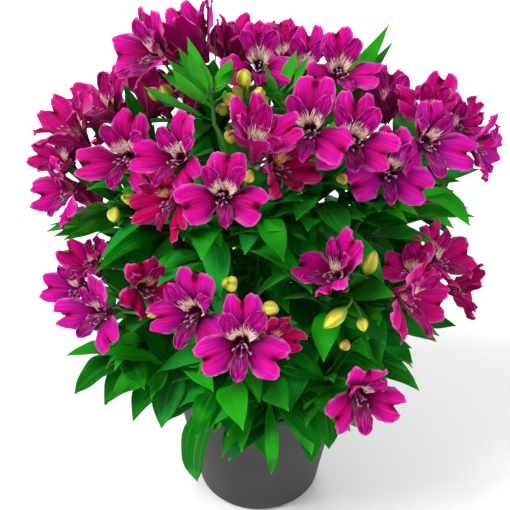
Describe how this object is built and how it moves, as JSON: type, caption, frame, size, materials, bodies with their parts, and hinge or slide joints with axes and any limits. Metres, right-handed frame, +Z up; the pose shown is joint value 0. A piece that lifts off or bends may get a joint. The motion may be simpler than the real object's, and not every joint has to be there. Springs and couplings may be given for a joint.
{
  "type": "potted peruvian lily",
  "caption": "Bushy flowering perennial in a round tapered nursery pot, with leafy stems that carry open six-petalled trumpet blooms, pointed buds and long hanging leaves.",
  "frame": {"origin": "centre of the pot's flat underside, which the plant stands on", "axes": "+Z up along the pot's axis; -Y towards the front of the picture; +X to its right"},
  "size_m": [0.4134, 0.3855, 0.4822],
  "materials": {
    "pot": "satin",
    "soil": "matte",
    "foliage": "satin",
    "petal": "satin"
  },
  "bodies": {
    "root": {"pot": "pot", "soil": "soil", "stem_back": "foliage", "stem_back_left": "foliage", "stem_back_low": "foliage", "stem_back_low_left": "foliage", "stem_back_low_right": "foliage", "stem_back_right": "foliage", "stem_centre": "foliage", "stem_centre_left": "foliage", "stem_far_left": "foliage", "stem_far_right": "foliage", "stem_foot_right": "foliage", "stem_front_right": "foliage", "stem_left": "foliage", "stem_low_front": "foliage", "stem_low_left": "foliage", "stem_low_right": "foliage", "stem_right": "foliage", "stem_top_left": "foliage", "stem_top_right": "foliage", "stem_upper_right": "foliage", "blooms_back_low_1": "petal", "blooms_back_low_left_1": "petal", "blooms_back_low_right_1": "petal", "blooms_back_right_1": "petal", "blooms_centre_left_1": "petal", "blooms_centre_left_2": "petal", "blooms_far_left_1": "petal", "blooms_far_left_2": "petal", "blooms_far_right_1": "petal", "blooms_foot_right_1": "petal", "blooms_front_right_1": "petal", "blooms_left_1": "petal", "blooms_left_2": "petal", "blooms_left_3": "petal", "blooms_left_4": "petal", "blooms_low_front_1": "petal", "blooms_low_front_2": "petal", "blooms_low_front_3": "petal", "blooms_low_left_1": "petal", "blooms_low_left_2": "petal", "blooms_low_left_3": "petal", "blooms_low_left_4": "petal", "blooms_low_right_1": "petal", "blooms_low_right_2": "petal", "blooms_low_right_3": "petal", "blooms_low_right_4": "petal", "blooms_top_left_1": "petal", "blooms_top_right_1": "petal", "blooms_top_right_2": "petal", "blooms_top_right_3": "petal", "blooms_upper_right_1": "petal"}
  },
  "joints": []
}
